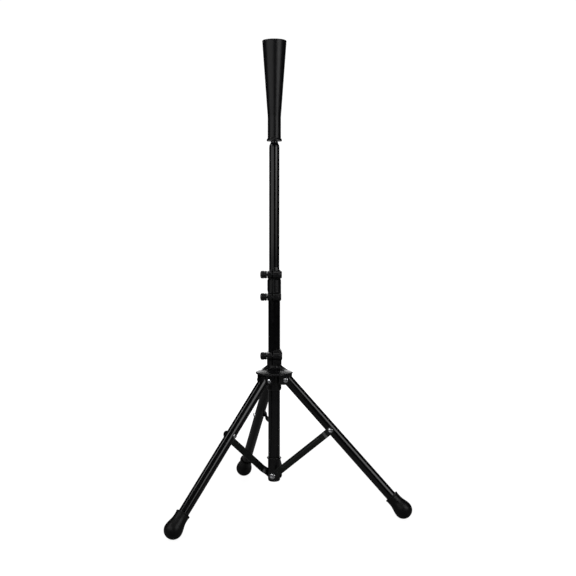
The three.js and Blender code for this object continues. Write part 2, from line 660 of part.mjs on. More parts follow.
export default tee;
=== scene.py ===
import json
import math

import bmesh
import bpy
from mathutils import Matrix, Vector


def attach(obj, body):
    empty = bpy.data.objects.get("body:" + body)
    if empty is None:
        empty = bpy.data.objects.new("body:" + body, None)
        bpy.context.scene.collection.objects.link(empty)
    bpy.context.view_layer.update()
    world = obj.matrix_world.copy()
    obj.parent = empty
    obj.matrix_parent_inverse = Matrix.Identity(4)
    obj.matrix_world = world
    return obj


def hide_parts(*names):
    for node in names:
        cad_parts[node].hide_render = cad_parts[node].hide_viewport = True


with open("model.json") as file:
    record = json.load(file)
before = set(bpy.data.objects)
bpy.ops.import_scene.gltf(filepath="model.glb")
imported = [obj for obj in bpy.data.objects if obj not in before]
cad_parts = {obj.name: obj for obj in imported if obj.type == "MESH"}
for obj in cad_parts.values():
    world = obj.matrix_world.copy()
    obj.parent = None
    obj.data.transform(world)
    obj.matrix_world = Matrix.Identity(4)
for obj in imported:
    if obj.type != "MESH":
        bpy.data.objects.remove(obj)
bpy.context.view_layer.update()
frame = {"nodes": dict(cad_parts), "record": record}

# ------------------------------------------------------------------ dimensions
# Shapes are worked out in millimetres in the frame's axes, and scaled to metres as they are placed.
METRE = 1000
TO_METRES = Matrix.Scale(1 / METRE, 4)
# The play between neighbouring pieces, and how far a cutter reaches past what it cuts
GAP = 0.3
FAR = 60
PAST = 2
# How far solids run into each other before they are joined
OVERLAP = 1
HEXAGON = 6

MAIN_TUBE = {"outer": 12.7, "wall": 1.2, "bottom": 114.4, "top": 497}
UPPER_TUBE = {"outer": 11, "wall": 1.1, "bottom": 395, "top": 781}
CUP = {"bottom": 792, "top": 1002, "rim": 25.8, "stem": 14, "flange": 16.1}
CUP_BORE = {"stem": 8, "rim": 22.8, "stem_top": 850, "bowl_bottom": 857}
SPIGOT = {"neck": 7.7, "shoulder_top": 789, "top": 849, "bottom": 752}

CLAMP_AZIMUTH = math.radians(-15)
LUG = {"left": -14.3, "slit": -4, "slit_half": 1.1, "radius": 8.2}
SCREW = {"radius": 3, "offset": 18.5, "pitch": 1.0, "depth": 0.3, "rings_per_turn": 6, "recess": 0.5}
NUT = {"half_flats": 5, "thickness": 5, "face_inset": 0.2, "bevel": 0.8}
WASHER = {"radius": 7, "thickness": 1.1}
BARREL = {"inset": 0.2, "recess": 1}
BOSS = {"length": 6, "bevel_length": 3, "bevel": 1.6}
KNOB = {"radius": 8.2, "inner": -15.9, "outer": -29.9, "socket_end": -23, "cap": 8.2, "groove": 0.9}
FLUTE = {"count": 6, "radius": 1.5, "stand_off": 0.8}
MID_COLLAR = {
    "bottom": 453.5, "step": 499, "top": 526, "body": 14.7, "band": 13.4,
    "chamfer": 1, "taper": 0.9, "taper_height": 6,
}
MID_RELIEF = {"start": 6, "end": 14, "depth": 1.5}
MID_EDGE = [(-11, 517.8), (-4, 523.5), (3, 526), (6, 526), (10, 521.5), (14, 517.8)]
HUB_EDGE = [(-11, 343.4), (6, 350), (12.5, 350), (20, 341.5)]
CLAMPS = {
    "upper": {"z": 510.3, "end": 16.2, "web": 13.5, "boss": 8.4, "rise": 7.2, "up": 7.5, "down": 10},
    "lower": {"z": 462.8, "end": 14.9, "web": 12.2, "boss": 8.2, "rise": 7.4, "up": 12, "down": 9},
    "hub": {"z": 336.7, "end": 17.3, "web": 15.8, "boss": 9.5, "rise": 7.5, "up": 13, "down": 20.4},
}

HUB = {"bottom": 260, "sleeve": 15.6, "shoulder_top": 314, "slit_bottom": 315, "top": 350}
FLANGE = {"radius": 39.8, "bottom": 296.2, "top": 300}
SHOULDER = [(32.5, 302.6), (26, 304.9), (20.5, 307.5), (17.5, 309.6)]
RIB = {"count": 9, "phase": math.radians(-5), "half": 0.9, "rim": (35.5, 300.8), "crest": (29, 304.1)}
CHEEK = {"inner": 11.6, "outer": 14.6, "reach": 36.5, "corner": 10.5}
HUMP = {"radius": 16.6, "half": 12, "rim_margin": 1}

SIDES = {"left": math.radians(-60), "right": math.radians(60), "back": math.radians(180)}
LEG = {"radius": 11, "wall": 1.3, "end": 10.8, "plain_end": 8}
LEG_PIVOT = {"reach": 29.7, "z": 285}
FOOT_CIRCLE = 281.1
FOOT = {"z": 18.2, "bulb": 18.75, "cuff": 14.3, "lip": 15, "neck": 26, "top": 37.5, "socket": 2}
BRACE_REACH = 127
RIVET_Z = 74.5
STRAP = {"half": 7.6, "inner": 13.2, "thickness": 1.8, "rounding": 0.35, "flat_share": 0.86}
JOGGLE = {"start": 9, "end": 21, "offset": 5.8}
BEAD = {"half": 3, "height": 1, "margin": 28, "fade": 6, "spread": 0.5, "slope": 1.1}
COLLAR = {"bottom": 61, "radius": 13.3, "flat": 12.7, "lip": 15.6, "lip_bottom": 111, "lip_top": 114}
COLLAR_FLAT_TOP = 107
COLLAR_SPIGOT_TOP = 134
PIVOT_BOLT = {"radius": 3, "head": 5.4, "height": 3, "flats": 5, "nut": 4}
BRACE_BOLT = {"radius": 2.5, "head": 5, "height": 2.4, "flats": 4.2, "nut": 3.2}
HEAD_DIMPLE = {"floor": 1.3, "edge": 1.8, "depth": 0.7, "lip": 0.05}
DOME_WALL = 1.2
RIVET = {"radius": 2.5, "head": 6, "height": 1.9, "dimple": 2, "depth": 0.9}
SPACER_RADIUS = 6

LEG_RUN = FOOT_CIRCLE - LEG_PIVOT["reach"]
LEG_DROP = LEG_PIVOT["z"] - FOOT["z"]
LEG_ANGLE = math.atan2(LEG_RUN, LEG_DROP)
LEG_LENGTH = math.hypot(LEG_RUN, LEG_DROP)
BRACE_BOLT_DISTANCE = (BRACE_REACH - LEG_PIVOT["reach"]) / math.sin(LEG_ANGLE)
BRACE_RISE = LEG_PIVOT["z"] - BRACE_BOLT_DISTANCE * math.cos(LEG_ANGLE) - RIVET_Z
BRACE_ANGLE = math.atan2(BRACE_REACH, BRACE_RISE)
BRACE_LENGTH = math.hypot(BRACE_REACH, BRACE_RISE)
STRAP_OUTER = STRAP["inner"] + STRAP["thickness"]

# ------------------------------------------------------------------ frames
TO_PLUS_X = Matrix.Rotation(math.pi / 2, 4, "Y")
TO_MINUS_X = Matrix.Rotation(-math.pi / 2, 4, "Y")
HALF_TURN = Matrix.Rotation(math.pi, 4, "Z")


def shift(x, y, z):
    return Matrix.Translation((x, y, z))


MAST = shift(0, -FOOT_CIRCLE / 4, 0)
CLAMP_SIDE = MAST @ Matrix.Rotation(CLAMP_AZIMUTH, 4, "Z")


def tripod(side):
    return MAST @ Matrix.Rotation(SIDES[side], 4, "Z")


def leg_frame(side):
    place = shift(0, -LEG_PIVOT["reach"], LEG_PIVOT["z"])
    return tripod(side) @ place @ Matrix.Rotation(-LEG_ANGLE, 4, "X")


def brace_frame(side):
    return tripod(side) @ shift(0, 0, RIVET_Z) @ Matrix.Rotation(BRACE_ANGLE, 4, "X")


# ------------------------------------------------------------------ shader nodes
# The Mix node's colour sockets, by number because its other types' sockets share their names
MIX_A, MIX_B, MIX_RESULT = 6, 7, 2


def map_range(tree, value, from_range, to_range):
    """The value carried from one (lowest, highest) range to another."""
    node = tree.nodes.new("ShaderNodeMapRange")
    sockets = ("From Min", "From Max", "To Min", "To Max")
    for socket, number in zip(sockets, (*from_range, *to_range)):
        node.inputs[socket].default_value = number
    tree.links.new(value, node.inputs["Value"])
    return node.outputs["Result"]


def combined(tree, first, second, operation):
    node = tree.nodes.new("ShaderNodeMath")
    node.operation = operation
    tree.links.new(first, node.inputs[0])
    tree.links.new(second, node.inputs[1])
    return node.outputs["Value"]


# ------------------------------------------------------------------ finishes
NOISE_MIDDLE = (0.3, 0.7)
# The Pointiness of a flat face and of a fully worn edge, an edge that is also lightened as a painted
# highlight
EDGE_POINTINESS = (0.53, 0.585)
WEAR_AND_HIGHLIGHT_NOISE = (0.38, 0.62)
WEAR_AND_HIGHLIGHT_SHARE = (0.15, 0.9)
SCUFFED_ROUGHNESS = (0, 0.12)
# How much finer than the mottling the edge wear with its painted highlight and the uneven gloss are
WEAR_AND_HIGHLIGHT_FINENESS = 2.5
GLOSS_FINENESS = 4


def finish(name, dark, light, worn, rough, grain, relief, mottle=60, **shader):
    """A procedural finish: mottled colour, uneven roughness, fine relief and broken, paler edges that are
    partly wear and partly a painted edge highlight.

    rough is its (smoothest, roughest) value, grain is in bumps per metre and relief in metres.
    """
    material = bpy.data.materials.new(name)
    material.use_nodes = True
    tree = material.node_tree
    nodes, link = tree.nodes, tree.links.new
    surface = nodes["Principled BSDF"]
    for socket, value in shader.items():
        surface.inputs[socket.replace("_", " ")].default_value = value
    place = nodes.new("ShaderNodeTexCoord").outputs["Object"]

    def noise(scale, detail):
        node = nodes.new("ShaderNodeTexNoise")
        node.inputs["Scale"].default_value = scale
        node.inputs["Detail"].default_value = detail
        link(place, node.inputs["Vector"])
        return node.outputs["Fac"]

    def mixed(factor, first, second):
        node = nodes.new("ShaderNodeMix")
        node.data_type = "RGBA"
        link(factor, node.inputs["Factor"])
        for socket, colour in ((node.inputs[MIX_A], first), (node.inputs[MIX_B], second)):
            if isinstance(colour, tuple):
                socket.default_value = (*colour, 1)
            else:
                link(colour, socket)
        return node.outputs[MIX_RESULT]

    colour = mixed(map_range(tree, noise(mottle, detail=5), NOISE_MIDDLE, (0, 1)), dark, light)
    # Edges are lightened by Pointiness: partly edge wear, partly a painted highlight standing in for glints
    # along the edges.
    pointiness = nodes.new("ShaderNodeNewGeometry").outputs["Pointiness"]
    edges = map_range(tree, pointiness, EDGE_POINTINESS, (0, 1))
    broken = map_range(tree, noise(mottle * WEAR_AND_HIGHLIGHT_FINENESS, detail=4), WEAR_AND_HIGHLIGHT_NOISE, WEAR_AND_HIGHLIGHT_SHARE)
    wear_and_highlight = combined(tree, edges, broken, "MULTIPLY")
    link(mixed(wear_and_highlight, colour, worn), surface.inputs["Base Color"])
    scuffed = map_range(tree, wear_and_highlight, (0, 1), SCUFFED_ROUGHNESS)
    uneven = map_range(tree, noise(mottle * GLOSS_FINENESS, detail=3), NOISE_MIDDLE, rough)
    link(combined(tree, uneven, scuffed, "ADD"), surface.inputs["Roughness"])
    bump = nodes.new("ShaderNodeBump")
    bump.inputs["Strength"].default_value = 1
    bump.inputs["Distance"].default_value = relief
    link(noise(grain, detail=3), bump.inputs["Height"])
    link(bump.outputs["Normal"], surface.inputs["Normal"])
    return material


# Each look's worn colour lightens its edges: edge wear, and also a painted edge highlight.
LOOKS = {
    "gloss_black_paint": {
        "dark": (0.0024, 0.0024, 0.0028), "light": (0.0062, 0.0062, 0.007),
        "worn": (0.05, 0.05, 0.052), "rough": (0.1, 0.17), "grain": 420, "relief": 0.000006,
    },
    "black_strap": {
        "dark": (0.0036, 0.0046, 0.0041), "light": (0.0125, 0.0155, 0.014),
        "worn": (0.06, 0.064, 0.062), "rough": (0.24, 0.42), "grain": 900, "relief": 0.00006,
        "mottle": 160,
    },
    "satin_black_plastic": {
        "dark": (0.0028, 0.0028, 0.0034), "light": (0.0078, 0.0078, 0.0088),
        "worn": (0.042, 0.042, 0.044), "rough": (0.25, 0.4), "grain": 1500, "relief": 0.00005,
        "mottle": 120,
    },
    "cup_rubber": {
        "dark": (0.0028, 0.0028, 0.0036), "light": (0.0068, 0.0068, 0.008),
        "worn": (0.026, 0.026, 0.03), "rough": (0.29, 0.4), "grain": 1800, "relief": 0.00004,
        "mottle": 90, "Specular_IOR_Level": 0.32,
    },
    "foot_rubber": {
        "dark": (0.0024, 0.0024, 0.0027), "light": (0.0064, 0.0062, 0.006),
        "worn": (0.034, 0.032, 0.029), "rough": (0.34, 0.47), "grain": 1400, "relief": 0.00006,
        "mottle": 110, "Specular_IOR_Level": 0.32,
    },
    "chrome_hardware": {
        "dark": (0.62, 0.63, 0.65), "light": (0.84, 0.85, 0.87),
        "worn": (0.93, 0.93, 0.94), "rough": (0.07, 0.18), "grain": 900, "relief": 0.000004,
        "mottle": 300, "Metallic": 1,
    },
}
FINISHES = {name: finish(name, **look) for name, look in LOOKS.items()}

SLOT_OF = {part["node"]: part["material_slot"] for part in frame["record"]["subparts"]}
BODY_OF = {
    node: body
    for body, members in frame["record"]["behaviour"]["bodies"].items()
    for node in members
}


# ------------------------------------------------------------------ mesh helpers
EDGE_STEP = 0.8
LONG_STEP = 12
# A corner is rounded over no more than this share of the runs beside it
CORNER_SHARE = 0.48
ON_AXIS = 1e-6
SAME_POINT = 1e-4
SEGMENTS = {
    "tube": 96, "cup": 128, "brace_collar": 144, "hub": 120, "knob": 144, "screw": 36, "washer": 72,
    "nut": 72, "rod": 48, "leg": 72, "foot": 96, "bolt": 64, "rivet": 72,
}


def arc(start, end, steps):
    """Angles in radians from start to end, which are in degrees."""
    return [math.radians(start + (end - start) * k / steps) for k in range(steps + 1)]


def rounded(points, steps=4, closed=False):
    """The profile with each corner that has a third number rounded over that length."""
    line = []
    count = len(points)
    for i, point in enumerate(points):
        here = Vector(point[:2])
        if len(point) < 3 or (not closed and i in (0, count - 1)):
            line.append(here)
            continue
        back = Vector(points[i - 1][:2]) - here
        ahead = Vector(points[(i + 1) % count][:2]) - here
        reach = min(point[2], back.length * CORNER_SHARE, ahead.length * CORNER_SHARE)
        start = here + back.normalized() * reach
        end = here + ahead.normalized() * reach
        for step in range(steps + 1):
            t = step / steps
            line.append(start * (1 - t) ** 2 + here * 2 * t * (1 - t) + end * t * t)
    return line


def spaced(profile, closed):
    """Adds points along long straight runs, so that the edge wear and painted edge highlight stay close to
    the edges.
    """
    line = []
    ends = profile[1:] + profile[:1] if closed else profile[1:]
    for start, end in zip(map(Vector, profile), map(Vector, ends)):
        line.append(start)
        run = (end - start).length
        if run > 3 * EDGE_STEP:
            parts = 1 + max(1, round(run / LONG_STEP))
            cuts = [EDGE_STEP / run, *(k / parts for k in range(1, parts)), 1 - EDGE_STEP / run]
            line += [start.lerp(end, cut) for cut in cuts]
    return line if closed else [*line, Vector(profile[-1])]


def lathe(profile, segments, closed=False, reshape=None):
    """Turns (radius, height) points about Z. reshape(radius, height, angle) may return another radius."""
    bm = bmesh.new()
    rings = []
    for radius, height in spaced(profile, closed):
        if radius < ON_AXIS:
            rings.append([bm.verts.new((0, 0, height))])
            continue
        ring = []
        for k in range(segments):
            angle = 2 * math.pi * k / segments
            r = reshape(radius, height, angle) if reshape else radius
            ring.append(bm.verts.new((r * math.cos(angle), r * math.sin(angle), height)))
        rings.append(ring)
    pairs = list(zip(rings, rings[1:]))
    if closed:
        pairs.append((rings[-1], rings[0]))
    for low, high in pairs:
        for k in range(segments):
            n = k + 1
            corners = (low[k % len(low)], low[n % len(low)], high[n % len(high)], high[k % len(high)])
            face = list(dict.fromkeys(corners))
            if len(face) > 2:
                bm.faces.new(face)
    bmesh.ops.recalc_face_normals(bm, faces=bm.faces)
    return bm


def extruded(points, reach):
    """A closed prism from an outline of points in space, pushed along reach."""
    bm = bmesh.new()
    near = [bm.verts.new(point) for point in points]
    far = [bm.verts.new(Vector(point) + Vector(reach)) for point in points]
    bm.faces.new(near)
    bm.faces.new(list(reversed(far)))
    for k in range(len(near)):
        n = (k + 1) % len(near)
        bm.faces.new([near[k], far[k], far[n], near[n]])
    bmesh.ops.recalc_face_normals(bm, faces=bm.faces)
    return bm


def turned(bm, *matrices):
    for matrix in matrices:
        bm.transform(matrix)
    return bm


def cylinder(radius, low, high, segments):
    return lathe([(0, low), (radius, low), (radius, high), (0, high)], segments)


def rod_along_x(radius, start, end):
    return turned(cylinder(radius, start, end, SEGMENTS["rod"]), TO_PLUS_X)


def ring_shape(outer, bore, low, high, corners, segments):
    """A tube or a flat ring. corners are the lengths its outer and its inner edges are rounded over."""
    outside, inside = corners
    walls = [(outer, low, outside), (outer, high, outside), (bore, high, inside), (bore, low, inside)]
    return lathe(rounded(walls, closed=True), segments, closed=True)


def block(low, high):
    corners = [(low[0], low[1]), (high[0], low[1]), (high[0], high[1]), (low[0], high[1])]
    return extruded([(x, y, low[2]) for x, y in corners], (0, 0, high[2] - low[2]))


def plate(outline, start, thickness):
    """A plate from X = start, with an outline of (reach toward -Y, height) points."""
    return extruded([(start, -reach, z) for reach, z in outline], (thickness, 0, 0))


def through_cutter(outline):
    """A cutter along the whole of Y, with an outline of (x, height) points."""
    return extruded([(x, FAR, z) for x, z in outline], (0, -2 * FAR, 0))


def as_object(bm, name):
    mesh = bpy.data.meshes.new(name)
    bm.to_mesh(mesh)
    bm.free()
    obj = bpy.data.objects.new(name, mesh)
    bpy.context.scene.collection.objects.link(obj)
    return obj


def bake_modifiers(obj):
    graph = bpy.context.evaluated_depsgraph_get()
    made = bpy.data.meshes.new_from_object(obj.evaluated_get(graph))
    obj.modifiers.clear()
    obj.data = made


def combine(base, others, operation):
    """Joins solids to base, or cuts them from it, one after another."""
    for number, bm in enumerate(others):
        tool = as_object(bm, f"{base.name}_{operation}_{number}")
        modifier = base.modifiers.new("combine", "BOOLEAN")
        modifier.operation = operation
        modifier.solver = "MANIFOLD"
        modifier.object = tool
        bake_modifiers(base)
        bpy.data.objects.remove(tool)


def soften(obj, voxel, passes, kept):
    """Rebuilds a solid on a fine grid and relaxes it, which rounds its edges as a moulding's are.

    The share of faces kept holds the file down without changing the shape.
    """
    remesh = obj.modifiers.new("grid", "REMESH")
    remesh.mode = "VOXEL"
    remesh.voxel_size = voxel
    relax = obj.modifiers.new("relax", "SMOOTH")
    relax.factor = 0.5
    relax.iterations = passes
    thin = obj.modifiers.new("thin", "DECIMATE")
    thin.ratio = kept
    bake_modifiers(obj)


def piece(node, shape, matrix=None, sharp=35):
    """Puts a fine shape in place of a CAD node, on that node's body and in its finish."""
    obj = shape if isinstance(shape, bpy.types.Object) else as_object(shape, f"{node}_fine")
    obj.name = f"{node}_fine"
    obj.data.transform(TO_METRES @ (matrix or Matrix.Identity(4)))
    obj.data.polygons.foreach_set("use_smooth", [True] * len(obj.data.polygons))
    obj.data.set_sharp_from_angle(angle=math.radians(sharp))
    obj.data.materials.clear()
    obj.data.materials.append(FINISHES[SLOT_OF[node]])
    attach(obj, BODY_OF[node])
    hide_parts(node)


# ------------------------------------------------------------------ mast
def tube_shape(outer, wall, bottom, top):
    lip = wall * 0.4
    return ring_shape(outer, outer - wall, bottom, top, (lip, lip), SEGMENTS["tube"])


def build_mast():
    piece("main_tube", tube_shape(**MAIN_TUBE), MAST)
    piece("upper_tube", tube_shape(**UPPER_TUBE), MAST)

    bottom, top = CUP["bottom"], CUP["top"]
    cup = rounded([
        (CUP["flange"], bottom, 0.8),
        (CUP["flange"], bottom + 4, 1.2),
        (CUP["stem"], bottom + 6.5, 2),
        (CUP["stem"], bottom + 52, 8),
        (CUP["stem"] + 0.9, bottom + 62, 8),
        (CUP["rim"] - 0.3, top - 3.5, 2),
        (CUP["rim"], top - 2, 0.8),
        (CUP["rim"] - 0.5, top - 0.5, 0.6),
        (CUP["rim"] - 1, top, 0.5),
        (CUP_BORE["rim"], top, 0.8),
        (CUP_BORE["stem"] + 2, CUP_BORE["bowl_bottom"], 4),
        (CUP_BORE["stem"], CUP_BORE["stem_top"], 2),
        (CUP_BORE["stem"], bottom, 0.6),
    ], steps=8, closed=True)
    piece("ball_cup", lathe(cup, SEGMENTS["cup"], closed=True), MAST, sharp=60)

    plug = UPPER_TUBE["outer"] - UPPER_TUBE["wall"] - GAP
    shoulder = UPPER_TUBE["top"] + GAP
    spigot = rounded([
        (0, SPIGOT["bottom"]),
        (plug, SPIGOT["bottom"], 0.8),
        (plug, shoulder),
        (UPPER_TUBE["outer"], shoulder, 0.3),
        (UPPER_TUBE["outer"] - 0.7, shoulder + 2.4, 1.4),
        (SPIGOT["neck"] + 0.7, SPIGOT["shoulder_top"] - 1.2, 1.4),
        (SPIGOT["neck"], SPIGOT["shoulder_top"], 0.6),
        (SPIGOT["neck"], SPIGOT["top"] - 2, 0.8),
        (SPIGOT["neck"] - 2, SPIGOT["top"], 0.8),
        (0, SPIGOT["top"]),
    ])
    piece("cup_spigot", lathe(spigot, SEGMENTS["tube"]), MAST)


def build_brace_collar():
    inner = MAIN_TUBE["outer"] - MAIN_TUBE["wall"] - GAP
    radius, lip = COLLAR["radius"], COLLAR["lip"]
    flats = [math.pi + azimuth for azimuth in SIDES.values()]

    def flattened(r, height, angle):
        if height > COLLAR_FLAT_TOP:
            return r
        facing = max(math.cos(angle - flat) for flat in flats)
        return min(r, COLLAR["flat"] / facing)

    profile = rounded([
        (0, COLLAR["bottom"]),
        (radius - 4, COLLAR["bottom"], 1.5),
        (radius - 1.2, COLLAR["bottom"] + 1.2, 1.2),
        (radius, COLLAR["bottom"] + 4, 1.5),
        (radius, COLLAR_FLAT_TOP),
        (radius, COLLAR_FLAT_TOP + 0.2),
        (radius, COLLAR["lip_bottom"], 0.5),
        (lip - 0.5, COLLAR["lip_bottom"], 0.4),
        (lip, COLLAR["lip_bottom"] + 0.6, 0.4),
        (lip, COLLAR["lip_top"] - 0.8, 0.6),
        (lip - 0.8, COLLAR["lip_top"], 0.6),
        (inner, COLLAR["lip_top"], 0.2),
        (inner, COLLAR_SPIGOT_TOP - 1, 0.5),
        (inner - 1, COLLAR_SPIGOT_TOP, 0.5),
        (0, COLLAR_SPIGOT_TOP),
    ])
    piece("brace_collar", lathe(profile, SEGMENTS["brace_collar"], reshape=flattened), MAST)


# ------------------------------------------------------------------ clamps
def hexagon_corner(half_flats):
    return half_flats / math.cos(math.pi / HEXAGON)


def hexagonal(half_flats):
    """Keeps a turned shape within a hexagon."""
    def limit(radius, height, angle):
        away = angle % (2 * math.pi / HEXAGON) - math.pi / HEXAGON
        return min(radius, half_flats / math.cos(away))
    return limit


def lug_solids(clamp):
    """The web, barrel and boss that carry a clamp's screw."""
    z, end, boss_radius = clamp["z"], clamp["end"], clamp["boss"]
    web = extruded([
        (LUG["left"], 0, z - clamp["rise"]),
        (clamp["web"], 0, z - clamp["down"]),
        (clamp["web"], 0, z + clamp["up"]),
        (LUG["left"], 0, z + clamp["rise"]),
    ], (0, -SCREW["offset"], 0))
    barrel = rod_along_x(LUG["radius"] - BARREL["inset"], LUG["left"], end - BARREL["recess"])
    boss = turned(lathe([
        (0, end - BOSS["length"]),
        (boss_radius, end - BOSS["length"]),
        (boss_radius, end - BOSS["bevel_length"]),
        (boss_radius - BOSS["bevel"], end),
        (0, end),
    ], SEGMENTS["rod"]), TO_PLUS_X)
    at_screw = shift(0, -SCREW["offset"], z)
    return [web, turned(barrel, at_screw), turned(boss, at_screw)]


def clamp_cutters(clamp, slit=None, edge=None):
    """The screw's hole, the nut's pocket, a slit of (bottom, top, depth) and the cut above an edge."""
    end = clamp["end"]
    at_screw = shift(0, -SCREW["offset"], clamp["z"])
    hole = rod_along_x(SCREW["radius"] + GAP, LUG["left"] - PAST, end + PAST)
    corner = hexagon_corner(NUT["half_flats"] + GAP)
    pocket = cylinder(corner, end - NUT["thickness"], end + PAST, HEXAGON)
    flats_level = Matrix.Rotation(math.pi / HEXAGON, 4, "Z")
    cutters = [turned(hole, at_screw), turned(pocket, flats_level, TO_PLUS_X, at_screw)]
    if slit:
        bottom, top, depth = slit
        left = LUG["slit"] - LUG["slit_half"]
        right = LUG["slit"] + LUG["slit_half"]
        cutters.append(block((left, -FAR, bottom), (right, -depth, top)))
    if edge:
        left_height, right_height = edge[0][1], edge[-1][1]
        ceiling = left_height + FAR
        sides = [(FAR, right_height), (FAR, ceiling), (-FAR, ceiling)]
        cutters.append(through_cutter([(-FAR, left_height), *edge, *sides]))
    return cutters


def build_mid_collar():
    bottom, step, top = MID_COLLAR["bottom"], MID_COLLAR["step"], MID_COLLAR["top"]
    body, band, chamfer = MID_COLLAR["body"], MID_COLLAR["band"], MID_COLLAR["chamfer"]
    collar = as_object(lathe([
        (0, bottom), (body - chamfer, bottom), (body, bottom + chamfer),
        (body, step - chamfer), (body - chamfer, step),
        (band, step), (band, top - MID_COLLAR["taper_height"]), (band - MID_COLLAR["taper"], top), (0, top),
    ], SEGMENTS["tube"]), "mid_collar_build")
    low = CLAMPS["lower"]["z"] + MID_RELIEF["start"]
    high = CLAMPS["lower"]["z"] + MID_RELIEF["end"]
    recess = -body + MID_RELIEF["depth"]
    relief = [(-FAR, low - FAR), (recess, low - FAR), (recess, low), (-body, high), (-FAR, high)]
    combine(collar, [through_cutter(relief)], "DIFFERENCE")
    combine(collar, lug_solids(CLAMPS["upper"]) + lug_solids(CLAMPS["lower"]), "UNION")
    under, over = bottom - PAST, top + PAST
    slit = (under, over, UPPER_TUBE["outer"] - PAST)
    combine(collar, [
        cylinder(MAIN_TUBE["outer"] + GAP, under, MAIN_TUBE["top"] + GAP, SEGMENTS["tube"]),
        cylinder(UPPER_TUBE["outer"] + GAP, under, over, SEGMENTS["tube"]),
        *clamp_cutters(CLAMPS["upper"], slit, MID_EDGE),
        *clamp_cutters(CLAMPS["lower"]),
    ], "DIFFERENCE")
    soften(collar, voxel=0.4, passes=3, kept=0.25)
    piece("mid_collar", collar, CLAMP_SIDE, sharp=180)


def grip(radius, height, angle):
    """Cuts flutes into the cap of a knob."""
    if height > KNOB["outer"] + KNOB["cap"]:
        return radius
    centre = KNOB["radius"] + FLUTE["stand_off"]
    pitch = 2 * math.pi / FLUTE["count"]
    away = (angle + pitch / 2) % pitch - pitch / 2
    inside = FLUTE["radius"] ** 2 - (centre * math.sin(away)) ** 2
    if inside <= 0:
        return radius
    return min(radius, centre * math.cos(away) - math.sqrt(inside))


def knob_shape():
    radius, inner, outer = KNOB["radius"], KNOB["inner"], KNOB["outer"]
    cap, waist = outer + KNOB["cap"], radius - KNOB["groove"]
    bore = SCREW["radius"] + GAP
    line = rounded([
        (0, outer),
        (radius * 0.5, outer + 0.3, 1.5),
        (radius * 0.86, outer + 1.3, 1.5),
        (radius, outer + 3.2, 1.5),
        (radius, cap, 0.4),
        (waist, cap + 0.5, 0.3),
        (waist, cap + 1.3, 0.3),
        (radius - 0.2, cap + 1.8, 0.4),
        (radius - 0.3, inner - 0.8, 0.5),
        (radius - 1.2, inner, 0.5),
        (bore, inner, 0.3),
        (bore, KNOB["socket_end"]),
        (0, KNOB["socket_end"]),
    ], steps=5)
    return lathe(line, SEGMENTS["knob"], reshape=grip)


def screw_shape(end):
    start, stop = KNOB["socket_end"] + GAP, end - SCREW["recess"]
    rings = int((stop - start) / SCREW["pitch"] * SCREW["rings_per_turn"])
    line = [(0, start)]
    line += [(SCREW["radius"], start + (stop - start) * k / rings) for k in range(rings + 1)]
    line.append((0, stop))

    def thread(radius, height, angle):
        turn = (height / SCREW["pitch"] - angle / (2 * math.pi)) % 1
        return radius - SCREW["depth"] * (1 - abs(2 * turn - 1))

    return lathe(line, SEGMENTS["screw"], reshape=thread)


def washer_shape():
    far = LUG["left"] - GAP
    near = far - WASHER["thickness"]
    bore = SCREW["radius"] + GAP
    return ring_shape(WASHER["radius"], bore, near, far, (0.25, 0.15), SEGMENTS["washer"])


def clamp_nut_shape(end):
    low, high = end - NUT["thickness"] + GAP, end - GAP
    bore, bevel = SCREW["radius"] + GAP, NUT["bevel"]
    face, corner = NUT["half_flats"] - NUT["face_inset"], hexagon_corner(NUT["half_flats"])
    line = [(bore, low), (face, low), (corner, low + bevel), (corner, high - bevel)]
    line += [(face, high), (bore, high)]
    return lathe(line, SEGMENTS["nut"], closed=True, reshape=hexagonal(NUT["half_flats"]))


def build_fasteners(name, clamp):
    at_screw = CLAMP_SIDE @ shift(0, -SCREW["offset"], clamp["z"]) @ TO_PLUS_X
    piece(f"{name}_clamp_knob", knob_shape(), at_screw)
    piece(f"{name}_clamp_screw", screw_shape(clamp["end"]), at_screw)
    piece(f"{name}_clamp_washer", washer_shape(), at_screw)
    piece(f"{name}_clamp_nut", clamp_nut_shape(clamp["end"]), at_screw)


# ------------------------------------------------------------------ hub
def cheek_outline():
    """A cheek runs from inside the sleeve to a rounded lower corner, and up into the flange."""
    inside, top, corner = HUB["sleeve"] - 2 * OVERLAP, FLANGE["bottom"] + OVERLAP, CHEEK["corner"]
    centre = CHEEK["reach"] - corner
    curve = [
        (centre + corner * math.cos(angle), LEG_PIVOT["z"] + corner * math.sin(angle))
        for angle in arc(-90, 0, 12)
    ]
    return [(inside, top), (inside, LEG_PIVOT["z"] - corner), *curve, (CHEEK["reach"], top)]


def hump_outline():
    """A hump is round about the leg's pivot, starts in the flange and stays within its rim."""
    outermost, base = FLANGE["radius"] - HUMP["rim_margin"], FLANGE["bottom"] + OVERLAP / 2
    crown = []
    for angle in arc(0, 180, 24):
        reach = LEG_PIVOT["reach"] + HUMP["radius"] * math.cos(angle)
        height = LEG_PIVOT["z"] + HUMP["radius"] * math.sin(angle)
        if height >= FLANGE["bottom"]:
            crown.append((min(reach, outermost), height))
    return [(crown[0][0], base), *crown, (crown[-1][0], base)]


def leg_mounts():
    """Two cheeks and a hump for each leg."""
    thickness = CHEEK["outer"] - CHEEK["inner"]
    solids = []
    for azimuth in SIDES.values():
        plates = [plate(cheek_outline(), start, thickness) for start in (-CHEEK["outer"], CHEEK["inner"])]
        plates.append(plate(hump_outline(), -HUMP["half"], 2 * HUMP["half"]))
        solids += [turned(solid, Matrix.Rotation(azimuth, 4, "Z")) for solid in plates]
    return solids


